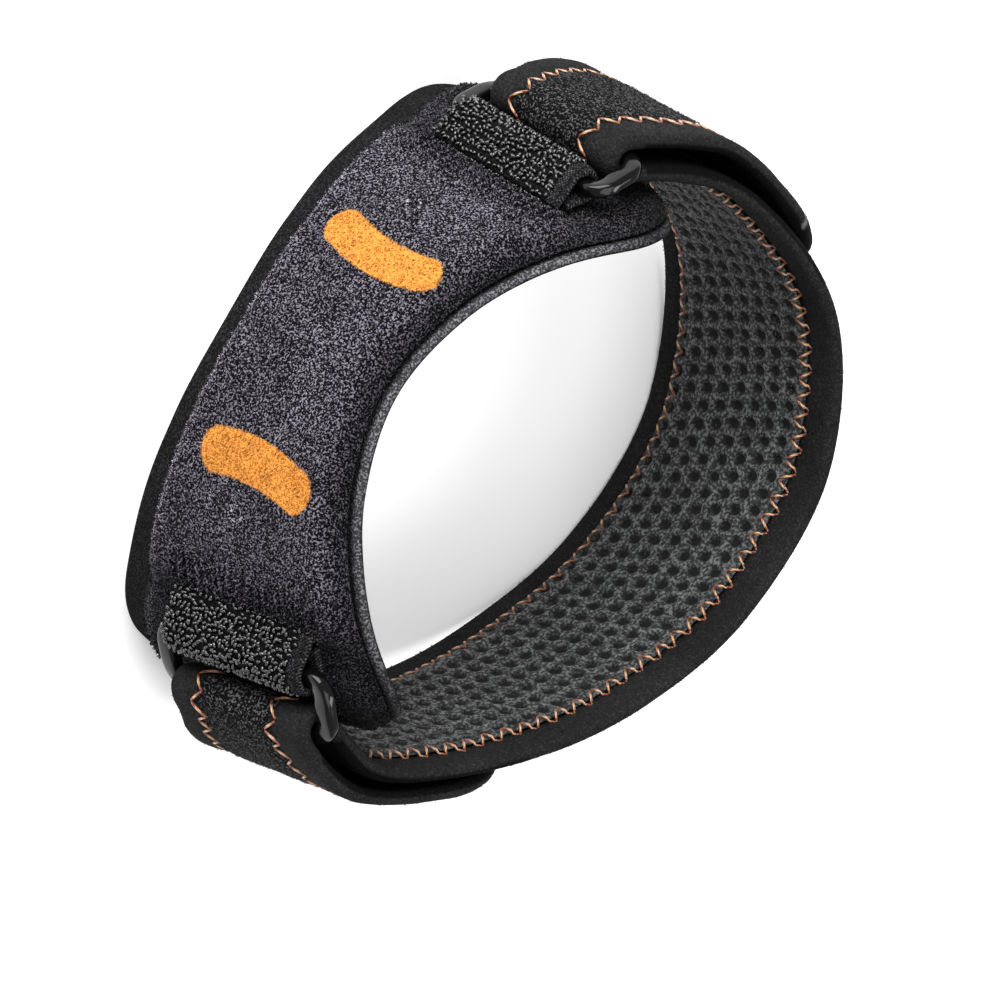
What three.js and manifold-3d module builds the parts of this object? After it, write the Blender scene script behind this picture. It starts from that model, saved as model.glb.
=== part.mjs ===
import * as THREE from 'three';
import { mergeVertices } from 'three/addons/utils/BufferGeometryUtils.js';
import Module from 'manifold-3d';

// A patellar strap, closed to the size of a leg and lying on its lower edge, in millimetres.
// Places on it are given by s, the distance round the skin from the middle of the pad, by n, the
// distance out from the skin, and by z, the height.

// The loop's skin line, seen from above, by its turn in degrees from the middle of the pad.
const skinRows = [
  { turn: 0, radius: 50.1 },
  { turn: 30, radius: 51 },
  { turn: 60, radius: 51.9 },
  { turn: 90, radius: 47.5 },
  { turn: 120, radius: 42 },
  { turn: 150, radius: 41.6 },
  { turn: 180, radius: 47.4 },
  { turn: 210, radius: 56 },
  { turn: 240, radius: 59.8 },
  { turn: 270, radius: 56.3 },
  { turn: 300, radius: 51.5 },
  { turn: 330, radius: 50.1 },
];
const strapWidth = 49.5;
const midHeight = 25;
const strapThick = 2.5;

// How far the corners along a band's edges are cut.
const clothCut = 0.4;
const strapCut = 0.7;
const thinCut = 0.2;

// The lengths of the pieces that curves are made of.
const padStep = 2.4;
const cushionStep = 2;
const tabStep = 1.2;
const flapStep = 3.2;
const strapStep = 2.6;
const meshStep = 3.2;
const hookStep = 1.6;
const tabFoldFacets = 8;
const strapFoldFacets = 9;
const barFacets = 10;
const cornerTurn = 18;

// The walls lean in towards the top, the pad more than the back, and the pad's ends flare further.
const leanRows = [
  { s: 0, lean: 0.14 },
  { s: 45, lean: 0.14 },
  { s: 80, lean: 0.085 },
  { s: 165, lean: 0.085 },
];
const flareRows = [
  { s: 0, lean: 0 },
  { s: 38, lean: 0 },
  { s: 58, lean: 0.05 },
  { s: 69, lean: 0.055 },
];

// Half of the pad's outline, from its waist to its rounded end.
const padRows = [
  { s: 0, low: 3.6, high: 42.1 },
  { s: 18, low: 1.2, high: 44.1 },
  { s: 30, low: -2, high: 46.6 },
  { s: 43, low: -6, high: 49.2 },
  { s: 52, low: -9.4, high: 50.2 },
  { s: 58, low: -11, high: 49.4 },
  { s: 63, low: -10.6, high: 47.2 },
  { s: 66.5, low: -6.5, high: 43.5 },
  { s: 69, low: 2, high: 38 },
];
const backingThick = 1.5;

// How far the cushion's face stands off the skin, and where it dips for the tab.
const cushionRows = [
  { s: 0, top: 7.2 },
  { s: 20, top: 7.2 },
  { s: 36.5, top: 7 },
  { s: 40.6, top: 6.3 },
  { s: 43, top: 4.9 },
  { s: 44.8, top: 3.9 },
  { s: 49, top: 3.6 },
  { s: 58, top: 3.5 },
  { s: 65.5, top: 2.7 },
];
const cushionHalf = 65.5;
const cushionBase = 1.8;
const lowerRim = 4;
const upperRim = 1.3;
const bevel = 4.2;
const bevelShares = [0, 0.08, 0.35, 0.7, 1];
const sideWall = 0.28;

// The buckle's two bars and its two limbs.
const innerBar = { s: 48.6, n: 7.7 };
const outerBar = { s: 57.3, n: 10.4 };
const barHalf = 1.25;
const limbHalf = 1.7;
const buckleLow = 8;
const buckleHigh = 44.3;
const buckleCorner = 3;

// The webbing tab folded round the inner bar.
const tabThick = 1.6;
const tabLow = 10.8;
const tabHigh = 41.4;
const tabFold = 2.4;
const tabSeam = 43.8;
const tabSeamHeight = 6.9;
const tabLowerEnd = 44.6;
const foldEnter = 1;
const tabCurl = 1.3;

// The strap's fold round the outer bar, and how far its skin face stands off the skin on either side
// of the loop: it bows out past the bar before it meets the skin.
const strapFold = 2.9;
const strapEnter = 1.2;
const bowRows = [
  { s: 57.3, left: 6.25, right: 6.25 },
  { s: 62, left: 6.6, right: 7.2 },
  { s: 68, left: 6.4, right: 7.8 },
  { s: 75, left: 5.8, right: 5.7 },
  { s: 82, left: 4.8, right: 3.3 },
  { s: 90, left: 3.5, right: 2 },
  { s: 97, left: 2.7, right: 1.5 },
  { s: 104, left: 2.1, right: 1.2 },
  { s: 114, left: 1.5, right: 1 },
  { s: 128, left: 1.05, right: 0.95 },
  { s: 140, left: 0.95, right: 0.95 },
  { s: 165, left: 0.95, right: 0.95 },
];

// The strap's lower and upper edge on its way to the back, and along a flap with its gap to the strap.
const edgeRows = [
  { s: 57.3, low: 10.2, high: 42 },
  { s: 62, low: 8, high: 43.4 },
  { s: 67, low: 6.4, high: 44.4 },
  { s: 76, low: 4.7, high: 45.6 },
  { s: 92, low: 2.8, high: 47.1 },
  { s: 116, low: 0.8, high: 48.9 },
  { s: 135, low: 0, high: strapWidth },
  { s: 170, low: 0, high: strapWidth },
];
const flapRows = [
  { s: 57.3, left: 3.3, right: 3.3, low: 10.2, high: 42 },
  { s: 62, left: 3.1, right: 3.1, low: 8.2, high: 43.2 },
  { s: 69, left: 3.2, right: 2.3, low: 6, high: 44.6 },
  { s: 75, left: 3.5, right: 1.9, low: 5.4, high: 45 },
  { s: 82, left: 2.7, right: 1.6, low: 4.9, high: 45.5 },
  { s: 90, left: 2.1, right: 1.3, low: 4.5, high: 45.8 },
  { s: 97, left: 1.6, right: 1.2, low: 4.3, high: 46 },
  { s: 118, left: 1.2, right: 1.2, low: 4, high: 46.4 },
];
const flapCorner = 16;

// Each side's flap and the fastener under it: where they begin and end.
const sides = [
  { name: 'left', hand: -1, flapEnd: 109, hookStart: 97, hookEnd: 114 },
  { name: 'right', hand: 1, flapEnd: 101, hookStart: 91, hookEnd: 108 },
];
const hookThick = 0.6;
const hookGap = 0.3;
const hookInset = 1.5;
const hookCorner = 5;

// The mesh lies on the strap's skin face, inside its sewn border.
const meshStart = 72;
const meshThick = 0.7;
const meshGap = 0.25;
const meshLowBorder = 5.6;
const meshHighBorder = 7.4;

// The loop leans back until the pad's ends and the strap's back stand level, pressed flat on the floor.
const settleLean = THREE.MathUtils.degToRad(-8.2);
const pressed = 0.8;
const slabSize = 400;
const slabDepth = 40;
const weldGap = 1e-4;

const cloth = { roughness: 0.95, metalness: 0 };
const materials = {
  plush: new THREE.MeshStandardMaterial({ color: 0x3c3941, ...cloth }),
  binding: new THREE.MeshStandardMaterial({ color: 0x17171a, ...cloth }),
  webbing: new THREE.MeshStandardMaterial({ color: 0x222225, ...cloth }),
  strapCloth: new THREE.MeshStandardMaterial({ color: 0x28282a, ...cloth }),
  mesh: new THREE.MeshStandardMaterial({ color: 0x3c3e3e, ...cloth }),
  fastener: new THREE.MeshStandardMaterial({ color: 0x1a1a1c, ...cloth }),
  gloss: new THREE.MeshStandardMaterial({ color: 0x0a0a0b, roughness: 0.18, metalness: 0 }),
};

// A row table's column as a smooth curve over s, level at its first row.
function along(rows, s, column) {
  const last = rows.length - 1;
  const slope = (i) => {
    if (i === 0) return 0;
    const after = Math.min(i + 1, last);
    return (rows[after][column] - rows[i - 1][column]) / (rows[after].s - rows[i - 1].s);
  };
  const at = THREE.MathUtils.clamp(s, rows[0].s, rows[last].s);
  const i = Math.min(last - 1, rows.findLastIndex((row) => row.s <= at));
  const length = rows[i + 1].s - rows[i].s;
  const t = (at - rows[i].s) / length;
  const start = rows[i][column];
  const end = rows[i + 1][column];
  const rise = (2 * t ** 3 - 3 * t ** 2 + 1) * start + (3 * t ** 2 - 2 * t ** 3) * end;
  return rise + (t ** 3 - 2 * t ** 2 + t) * length * slope(i) + (t ** 3 - t ** 2) * length * slope(i + 1);
}

// Even steps from one place to another, both included.
function steps(from, to, size) {
  const count = Math.max(1, Math.round(Math.abs(to - from) / size));
  return Array.from({ length: count + 1 }, (_, i) => THREE.MathUtils.lerp(from, to, i / count));
}

// The skin line as a closed curve, and its outward side at any distance round it.
const skinLine = new THREE.CatmullRomCurve3(
  skinRows.map(({ turn, radius }) => {
    const angle = THREE.MathUtils.degToRad(turn);
    return new THREE.Vector3(radius * Math.sin(angle), -radius * Math.cos(angle), 0);
  }),
  true,
);
skinLine.arcLengthDivisions = 1440;
const girth = skinLine.getLength();

function roundSkin(s) {
  return THREE.MathUtils.euclideanModulo(s / girth, 1);
}

function outward(s) {
  const tangent = skinLine.getTangentAt(roundSkin(s));
  return new THREE.Vector2(tangent.y, -tangent.x);
}

function planPoint(s, n) {
  const skin = skinLine.getPointAt(roundSkin(s));
  return new THREE.Vector2(skin.x, skin.y).addScaledVector(outward(s), n);
}

// The distance from the middle of the pad by the shorter way round.
function reach(s) {
  return Math.min(Math.abs(s), girth - Math.abs(s));
}

// A plan point at height z, with the wall's lean there and any flare on top of it.
function raised(plan, s, z, flare = 0) {
  const shift = -(along(leanRows, reach(s), 'lean') + flare) * (z - midHeight);
  const moved = plan.clone().addScaledVector(outward(s), shift);
  return new THREE.Vector3(moved.x, moved.y, z);
}

// A closed body through a row of sections that have equal numbers of points.
function loft(sections, closed = false) {
  const count = sections[0].length;
  const points = sections.flat();
  const faces = [];
  const last = closed ? sections.length : sections.length - 1;
  for (let i = 0; i < last; i += 1) {
    const next = (i + 1) % sections.length;
    for (let j = 0; j < count; j += 1) {
      const k = (j + 1) % count;
      const [a, b, c, d] = [i * count + j, i * count + k, next * count + k, next * count + j];
      faces.push(a, b, c, a, c, d);
    }
  }
  if (!closed) {
    for (const [section, first, back] of [[sections[0], 0, true], [sections.at(-1), last * count, false]]) {
      const middle = section.reduce((sum, point) => sum.add(point), new THREE.Vector3()).divideScalar(count);
      points.push(middle);
      for (let j = 0; j < count; j += 1) {
        const [a, b] = [first + j, first + ((j + 1) % count)];
        faces.push(points.length - 1, back ? b : a, back ? a : b);
      }
    }
  }
  const geometry = new THREE.BufferGeometry().setFromPoints(points);
  geometry.setIndex(faces);
  return facingOut(geometry);
}

// Turns every face round if the body is inside out.
function facingOut(geometry) {
  const place = geometry.getAttribute('position');
  const index = geometry.index.array;
  const corners = [new THREE.Vector3(), new THREE.Vector3(), new THREE.Vector3()];
  let volume = 0;
  for (let i = 0; i < index.length; i += 3) {
    corners.forEach((corner, j) => corner.fromBufferAttribute(place, index[i + j]));
    volume += corners[0].dot(corners[1].clone().cross(corners[2]));
  }
  if (volume < 0) {
    for (let i = 0; i < index.length; i += 3) {
      [index[i + 1], index[i + 2]] = [index[i + 2], index[i + 1]];
    }
  }
  return geometry;
}

// A flat band along a route of places, with cut corners along both edges.
function band(route, thick, cut, span, flared = () => 0) {
  const middle = route.map(({ s, n }) => planPoint(s, n));
  const half = thick / 2;
  const sections = route.map((place, i) => {
    const before = middle[Math.max(i - 1, 0)];
    const after = middle[Math.min(i + 1, middle.length - 1)];
    const way = after.clone().sub(before).normalize();
    const side = new THREE.Vector2(way.y, -way.x);
    const { low, high } = span(place);
    const corners = [
      [-half + cut, low],
      [half - cut, low],
      [half, low + cut],
      [half, high - cut],
      [half - cut, high],
      [-half + cut, high],
      [-half, high - cut],
      [-half, low + cut],
    ];
    const flare = flared(place.s);
    return corners.map(([off, z]) => raised(middle[i].clone().addScaledVector(side, off), place.s, z, flare));
  });
  return loft(sections);
}

// How much a corner of the given radius narrows an edge at a distance from the end.
function cornerInset(distance, radius) {
  const left = Math.max(radius - distance, 0);
  return radius - Math.sqrt(radius ** 2 - left ** 2);
}

// A fold round a bar, from its outer side to its inner side.
function fold(bar, radius, front, count) {
  return steps(0, Math.PI, Math.PI / count).map((angle) => ({
    s: bar.s + front * radius * Math.sin(angle),
    n: bar.n + radius * Math.cos(angle),
  }));
}

function padFlare(s) {
  return along(flareRows, Math.abs(s), 'lean');
}

function padBacking() {
  const half = padRows.at(-1).s;
  const route = steps(-half, half, padStep).map((s) => ({ s, n: backingThick / 2 }));
  const span = ({ s }) => ({
    low: along(padRows, Math.abs(s), 'low'),
    high: along(padRows, Math.abs(s), 'high'),
  });
  return band(route, backingThick, clothCut, span, padFlare);
}

// The cushion: a flat base and a face with bevelled long edges, thinner past the tabs.
function frontPad() {
  const sections = steps(-cushionHalf, cushionHalf, cushionStep).map((s) => {
    const at = Math.abs(s);
    const low = along(padRows, at, 'low') + lowerRim;
    const high = along(padRows, at, 'high') - upperRim;
    const top = along(cushionRows, at, 'top');
    const lift = (share) => {
      const rounded = sideWall + (1 - sideWall) * Math.sin(share * Math.PI / 2);
      return THREE.MathUtils.lerp(cushionBase, top, rounded);
    };
    const lower = bevelShares.map((share) => [lift(share), low + bevel * share]);
    const upper = bevelShares.map((share) => [lift(share), high - bevel * share]).reverse();
    const outline = [[cushionBase, low], ...lower, [top, (low + high) / 2], ...upper, [cushionBase, high]];
    return outline.map(([n, z]) => raised(planPoint(s, n), s, z, padFlare(s)));
  });
  return loft(sections);
}

// A tab: its lower layer, the fold round the inner bar and its upper layer, which comes down to the seam.
function tab(hand) {
  const under = innerBar.n - tabFold;
  const lower = steps(tabLowerEnd, innerBar.s - foldEnter, tabStep).map((s) => ({ s, n: under }));
  const turned = fold(innerBar, tabFold, 1, tabFoldFacets).reverse();
  const rise = innerBar.n + tabFold - tabSeamHeight;
  const upper = steps(innerBar.s - foldEnter, tabSeam, tabStep).map((s) => {
    const share = (s - tabSeam) / (innerBar.s - tabSeam);
    return { s, n: tabSeamHeight + rise * Math.sin(share * Math.PI / 2) ** tabCurl };
  });
  const route = [...lower, ...turned, ...upper].map(({ s, n }) => ({ s: s * hand, n }));
  return band(route, tabThick, clothCut, () => ({ low: tabLow, high: tabHigh }));
}

// A buckle: an oblong ring with slim bars and broader limbs.
function buckle(hand) {
  const middle = { s: (innerBar.s + outerBar.s) / 2, z: (buckleLow + buckleHigh) / 2 };
  const halfWide = (outerBar.s - innerBar.s) / 2 - buckleCorner;
  const halfTall = (buckleHigh - buckleLow) / 2 - buckleCorner;
  const path = [];
  [[1, 1, 0], [-1, 1, 90], [-1, -1, 180], [1, -1, 270]].forEach(([right, up, start]) => {
    steps(start, start + 90, cornerTurn).forEach((degrees) => {
      const angle = THREE.MathUtils.degToRad(degrees);
      const s = middle.s + right * halfWide + buckleCorner * Math.cos(angle);
      const z = middle.z + up * halfTall + buckleCorner * Math.sin(angle);
      path.push({ s, z, side: [Math.cos(angle), Math.sin(angle)] });
    });
  });
  const sections = path.map(({ s, z, side }) => {
    const share = (s - innerBar.s) / (outerBar.s - innerBar.s);
    const n = THREE.MathUtils.lerp(innerBar.n, outerBar.n, share);
    const half = THREE.MathUtils.lerp(barHalf, limbHalf, Math.abs(side[1]));
    return steps(0, 2 * Math.PI, 2 * Math.PI / barFacets).slice(0, -1).map((angle) => {
      const off = half * Math.cos(angle);
      const place = hand * (s + side[0] * off);
      return raised(planPoint(place, n + barHalf * Math.sin(angle)), place, z + side[1] * off);
    });
  });
  return loft(sections, true);
}

// The side of the loop that a place is on.
function sideOf(s) {
  return roundSkin(s) > 0.5 ? 'left' : 'right';
}

// How far the skin face of the strap's inner layer stands off the skin.
function layerInner(s) {
  return along(bowRows, reach(s), sideOf(s));
}

// The middle of the strap's inner layer and of a flap, out from the skin.
function layerMiddle(s) {
  return layerInner(s) + strapThick / 2;
}

function flapMiddle(s) {
  return layerMiddle(s) + strapThick + along(flapRows, Math.abs(s), sideOf(s));
}

// One side of the strap, from the end of its flap round the outer bar towards the back.
function strapSide({ hand, flapEnd }, back) {
  const flap = steps(flapEnd, outerBar.s + strapEnter, flapStep).map((at) => {
    const inset = cornerInset(flapEnd - at, flapCorner);
    const low = along(flapRows, at, 'low') + inset;
    return { s: hand * at, n: flapMiddle(hand * at), low, high: along(flapRows, at, 'high') - inset };
  });
  const { low, high } = edgeRows[0];
  const turned = fold(outerBar, strapFold, -1, strapFoldFacets).map(({ s, n }) => {
    return { s: hand * s, n, low, high };
  });
  const inner = steps(outerBar.s + strapEnter, back, strapStep).map((at) => ({
    s: hand * at,
    n: layerMiddle(hand * at),
    low: along(edgeRows, at, 'low'),
    high: along(edgeRows, at, 'high'),
  }));
  return [...flap, ...turned, ...inner];
}

function strap() {
  const [left, right] = sides;
  const half = girth / 2;
  const route = [...strapSide(right, half), ...strapSide(left, half).reverse().slice(1)];
  return band(route, strapThick, strapCut, ({ low, high }) => ({ low, high }));
}

function meshLining() {
  const route = steps(meshStart, girth - meshStart, meshStep).map((s) => ({
    s,
    n: layerInner(s) - meshGap - meshThick / 2,
  }));
  return band(route, meshThick, thinCut, ({ s }) => ({
    low: along(edgeRows, reach(s), 'low') + meshLowBorder,
    high: along(edgeRows, reach(s), 'high') - meshHighBorder,
  }));
}

// A fastener: a thin piece between a flap's end and the strap, reaching past the flap.
function hookTab({ hand, hookStart, hookEnd }) {
  const route = steps(hookStart, hookEnd, hookStep).map((at) => ({
    s: hand * at,
    n: layerMiddle(hand * at) + strapThick / 2 + hookGap + hookThick / 2,
  }));
  return band(route, hookThick, thinCut, ({ s }) => {
    const at = Math.abs(s);
    const inset = hookInset + cornerInset(hookEnd - at, hookCorner);
    return { low: along(flapRows, at, 'low') + inset, high: along(flapRows, at, 'high') - inset };
  });
}

const wasm = await Module();
wasm.setup();

function solid(geometry) {
  const bare = geometry.clone();
  bare.deleteAttribute('normal');
  bare.deleteAttribute('uv');
  const merged = mergeVertices(bare, weldGap);
  const vertProperties = merged.getAttribute('position').array;
  const triVerts = new Uint32Array(merged.index.array);
  return new wasm.Manifold(new wasm.Mesh({ numProp: 3, vertProperties, triVerts }));
}

// Cuts away what would lie under the floor.
function pressedFlat(geometry, floor) {
  const slab = new THREE.BoxGeometry(slabSize, slabSize, slabDepth).translate(0, 0, floor - slabDepth / 2);
  const cut = solid(geometry).subtract(solid(slab)).getMesh();
  const result = new THREE.BufferGeometry();
  result.setAttribute('position', new THREE.BufferAttribute(new Float32Array(cut.vertProperties), 3));
  result.setIndex(new THREE.BufferAttribute(new Uint32Array(cut.triVerts), 1));
  return result;
}

const pieces = [
  ['pad_backing', padBacking(), materials.binding],
  ['front_pad', frontPad(), materials.plush],
  ['strap', strap(), materials.strapCloth],
  ['mesh_lining', meshLining(), materials.mesh],
];
for (const side of sides) {
  pieces.push(['tab_' + side.name, tab(side.hand), materials.webbing]);
  pieces.push(['buckle_' + side.name, buckle(side.hand), materials.gloss]);
  pieces.push(['hook_tab_' + side.name, hookTab(side), materials.fastener]);
}

// The backing and the strap stand on the floor; the rest hangs clear of it.
const standing = ['pad_backing', 'strap'];
const lowest = [];
for (const [name, geometry] of pieces) {
  geometry.rotateX(settleLean);
  geometry.computeBoundingBox();
  if (standing.includes(name)) lowest.push(geometry.boundingBox.min.z);
}
const floor = Math.max(...lowest) + pressed;

const loop = new THREE.Group();
for (const [name, geometry, material] of pieces) {
  const settled = standing.includes(name) ? pressedFlat(geometry, floor) : geometry;
  settled.computeVertexNormals();
  const mesh = new THREE.Mesh(settled, material);
  mesh.name = name;
  loop.add(mesh);
}

// The origin is on the floor, under the middle of the loop.
const box = new THREE.Box3().setFromObject(loop);
const centre = box.getCenter(new THREE.Vector3());
loop.position.set(-centre.x, -centre.y, -floor);

const patellarStrap = new THREE.Group();
patellarStrap.name = 'patellar_strap';
patellarStrap.add(loop);

export default patellarStrap;
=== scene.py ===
import math
import bpy
import numpy as np
from mathutils import Matrix, Vector


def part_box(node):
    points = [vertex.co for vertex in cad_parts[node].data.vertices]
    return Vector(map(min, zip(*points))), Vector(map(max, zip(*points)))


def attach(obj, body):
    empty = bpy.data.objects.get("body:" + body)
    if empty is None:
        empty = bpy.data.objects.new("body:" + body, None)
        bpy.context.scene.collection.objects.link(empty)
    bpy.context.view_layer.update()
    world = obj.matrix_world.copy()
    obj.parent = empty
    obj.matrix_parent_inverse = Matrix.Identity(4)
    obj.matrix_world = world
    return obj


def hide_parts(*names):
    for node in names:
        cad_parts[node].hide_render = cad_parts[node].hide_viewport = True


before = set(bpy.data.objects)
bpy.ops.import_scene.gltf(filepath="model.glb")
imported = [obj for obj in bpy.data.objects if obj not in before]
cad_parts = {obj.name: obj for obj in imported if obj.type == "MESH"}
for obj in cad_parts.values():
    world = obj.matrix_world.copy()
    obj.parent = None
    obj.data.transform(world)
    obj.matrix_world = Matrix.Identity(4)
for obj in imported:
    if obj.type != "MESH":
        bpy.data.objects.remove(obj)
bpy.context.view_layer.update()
rng = np.random.default_rng(11)

# Places on the loop go by s, the way round the skin from the middle of the pad, n, the way out
# from the skin, and z, the height. These tables are in millimetres.
loop = {
    "turn": [0, 30, 60, 90, 120, 150, 180, 210, 240, 270, 300, 330],
    "radius": [50.1, 51, 51.9, 47.5, 42, 41.6, 47.4, 56, 59.8, 56.3, 51.5, 50.1],
    "perSpan": 120,
    "lean": {"s": [0, 45, 80, 165], "lean": [0.14, 0.14, 0.085, 0.085]},
    "flare": {"s": [0, 38, 58, 69], "flare": [0, 0, 0.05, 0.055]},
    "midHeight": 25,
    "settle": math.radians(-8.2),
}
settleCos, settleSin = math.cos(loop["settle"]), math.sin(loop["settle"])
outerBar = {"s": 57.3, "n": 10.4}
innerBar = {"s": 48.6, "n": 7.7}
hands = {"left": -1, "right": 1}
lowestPoint = 5e-5
faceShift = 100
perFibre = 6


def unit(way):
    return way / np.linalg.norm(way, axis=-1, keepdims=True)


def rightOf(way):
    return np.stack([way[..., 1], -way[..., 0]], -1)


def ramp(value, start, end):
    # 0 before start, 1 past end
    return np.clip((value - start) / (end - start), 0, 1)


def runLength(line):
    return np.append(0, np.cumsum(np.hypot(*np.diff(line, axis=0).T)))


def dense(start, end, size):
    return np.linspace(start, end, max(2, int(round(abs(end - start) / size)) + 1))


def along(table, s, column):
    # a table's column as a smooth curve, level at its first row
    x, y = np.array(table["s"], float), np.array(table[column], float)
    count = len(x)
    after = np.minimum(np.arange(1, count) + 1, count - 1)
    before = np.arange(1, count) - 1
    slope = np.append(0, (y[after] - y[before]) / (x[after] - x[before]))
    at = np.clip(s, x[0], x[-1])
    i = np.clip(np.searchsorted(x, at, "right") - 1, 0, count - 2)
    length = x[i + 1] - x[i]
    t = (at - x[i]) / length
    rise = (2 * t**3 - 3 * t**2 + 1) * y[i] + (3 * t**2 - 2 * t**3) * y[i + 1]
    return rise + (t**3 - 2 * t**2 + t) * length * slope[i] + (t**3 - t**2) * length * slope[i + 1]


def skinCurve():
    turn, radius = np.radians(loop["turn"]), np.array(loop["radius"])
    p = np.stack([radius * np.sin(turn), -radius * np.cos(turn)], 1)
    t = np.linspace(0, 1, loop["perSpan"], endpoint=False)[:, None]
    runs = []
    for i in range(len(p)):
        p0, p1, p2, p3 = p[i - 1], p[i], p[(i + 1) % len(p)], p[(i + 2) % len(p)]
        d0, d1, d2 = (np.sum((b - a) ** 2) ** 0.25 for a, b in ((p0, p1), (p1, p2), (p2, p3)))
        t1 = ((p1 - p0) / d0 - (p2 - p0) / (d0 + d1) + (p2 - p1) / d1) * d1
        t2 = ((p2 - p1) / d1 - (p3 - p1) / (d1 + d2) + (p3 - p2) / d2) * d1
        cubic = (2 * p1 - 2 * p2 + t1 + t2) * t**3
        runs.append(p1 + t1 * t + (-3 * p1 + 3 * p2 - 2 * t1 - t2) * t**2 + cubic)
    line = np.concatenate(runs + [p[:1]])
    return line, runLength(line)


skinLine, skinDistance = skinCurve()
girth = skinDistance[-1]


def skinPoint(s):
    at = np.mod(s, girth)
    return np.stack([np.interp(at, skinDistance, skinLine[:, k]) for k in (0, 1)], -1)


def outward(s):
    return rightOf(unit(skinPoint(s + 0.3) - skinPoint(s - 0.3)))


def reach(s):
    return np.minimum(abs(s), girth - abs(s))


def leanAt(s, flared):
    # how far the wall leans out as it goes down; the pad's wings lean out more
    lean = along(loop["lean"], reach(s), "lean")
    return lean + along(loop["flare"], reach(s), "flare") if flared else lean


def raised(plan, s, z, flared=False):
    s, z = np.broadcast_arrays(s, z)
    x, y = np.moveaxis(plan - outward(s) * (leanAt(s, flared) * (z - loop["midHeight"]))[..., None], -1, 0)
    return np.stack([x, y * settleCos - z * settleSin, y * settleSin + z * settleCos], -1) / 1000


def findPlace(points):
    # s, n and z of points on the pad
    x, y, h = ((points - shift) * 1000).T
    plan, z = np.stack([x, y * settleCos + h * settleSin], 1), h * settleCos - y * settleSin
    near = np.concatenate([np.argmin(((part[:, None] - skinLine[None, :-1:2]) ** 2).sum(-1), 1)
                           for part in np.array_split(plan, len(plan) // 2000 + 1)]) * 2
    s = skinDistance[near]
    for _ in range(2):
        side = outward(s)
        gap = plan - skinPoint(s)
        s = s + gap[:, 0] * -side[:, 1] + gap[:, 1] * side[:, 0]
    n = ((plan - skinPoint(s)) * outward(s)).sum(1)
    s = np.where(s > girth / 2, s - girth, s)
    return s, n + leanAt(s, True) * (z - loop["midHeight"]), z


def ribbon(s, n, flared=False):
    # a route in plan with its side direction and the distance along it
    plan = skinPoint(s) + outward(s) * n[:, None]
    distance = runLength(plan)
    return {"s": s, "plan": plan, "side": rightOf(unit(np.gradient(plan, axis=0))), "distance": distance,
            "length": distance[-1], "flared": flared}


def onRibbon(route, d, off, z):
    d, off, z = np.broadcast_arrays(d, off, z)
    pick = lambda values: np.interp(d, route["distance"], values)
    plan, side = (np.stack([pick(route[key][:, k]) for k in (0, 1)], -1) for key in ("plan", "side"))
    return raised(plan + unit(side) * off[..., None], pick(route["s"]), z, route["flared"]) + shift


def foldRound(bar, radius, front):
    angle = np.linspace(0, math.pi, 40)
    return bar["s"] + front * radius * np.sin(angle), bar["n"] + radius * np.cos(angle)


# The webbing tabs' route: the lower layer, the fold round the inner bar, the upper layer to the seam.
tabs = {"thick": 1.6, "low": 10.8, "high": 41.4, "fold": 2.4, "seam": 43.8, "seamHeight": 6.9,
        "hem": 1.3, "hemDrop": 1.1, "selvage": 2.6, "weave": 0.62, "weaveRise": 0.14, "weaveLight": 16,
        "loopPitch": 0.92, "loopSize": 0.32, "loopThick": 0.27, "loopTall": 1.45, "stray": 0.2, "sunk": 0.12}


def tabRoute(hand, hem=0):
    low = dense(tabs["seam"] + 0.8, innerBar["s"] - 1, 0.3)
    turnS, turnN = foldRound(innerBar, tabs["fold"], 1)
    top = dense(innerBar["s"] - 1, tabs["seam"], 0.2)
    share = (top - tabs["seam"]) / (innerBar["s"] - tabs["seam"])
    rise = innerBar["n"] + tabs["fold"] - tabs["seamHeight"]
    topN = tabs["seamHeight"] + rise * np.sin(share * math.pi / 2) ** 1.3
    s = np.concatenate([low, turnS[::-1], top])
    n = np.concatenate([np.full(len(low), innerBar["n"] - tabs["fold"]), turnN[::-1], topN])
    if hem:
        drop = np.linspace(0, 1, 12)[1:]
        s = np.append(s, tabs["seam"] - hem * drop)
        n = np.append(n, tabs["seamHeight"] - tabs["hemDrop"] * drop**1.5)
    keep = np.append(True, np.hypot(np.diff(s), np.diff(n)) > 1e-3)
    return hand * s[keep], n[keep]


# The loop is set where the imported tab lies, whose corners these are.
shift = np.zeros(3)
tabLine = ribbon(*tabRoute(1))
corners = np.concatenate([onRibbon(tabLine, tabLine["distance"], o, z)
                          for o in (-tabs["thick"] / 2, tabs["thick"] / 2) for z in (tabs["low"], tabs["high"])])
tabLow, tabHigh = (np.array(corner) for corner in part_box("tab_right"))
shift = (tabLow + tabHigh) / 2 - (corners.min(0) + corners.max(0)) / 2
print("loop set at", shift.round(5))


def deselect():
    bpy.ops.object.select_all(action="DESELECT")


def onlyThis(piece):
    deselect()
    piece.select_set(True)
    bpy.context.view_layer.objects.active = piece


def readAll(items, key, width=1, kind=np.float32):
    values = np.zeros(len(items) * width, kind)
    items.foreach_get(key, values)
    return values.reshape(-1, width).astype(float) if width > 1 else values


def readPoints(piece):
    return readAll(piece.data.vertices, "co", 3)


def writeAll(items, key, values):
    items.foreach_set(key, np.ascontiguousarray(values, np.float32).ravel())


def writePoints(piece, co):
    writeAll(piece.data.vertices, "co", co)
    piece.data.update()


def setLayer(piece, name, perPoint):
    # a number for each point: shade scales the cloth's colour, 1 where plain, and holds painted shade and painted
    # highlights as well as the cloth's own lighter and darker parts; calm is how little it is flecked
    layer = piece.data.attributes.get(name) or piece.data.attributes.new(name, "FLOAT", "POINT")
    writeAll(layer.data, "value", perPoint)


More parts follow.
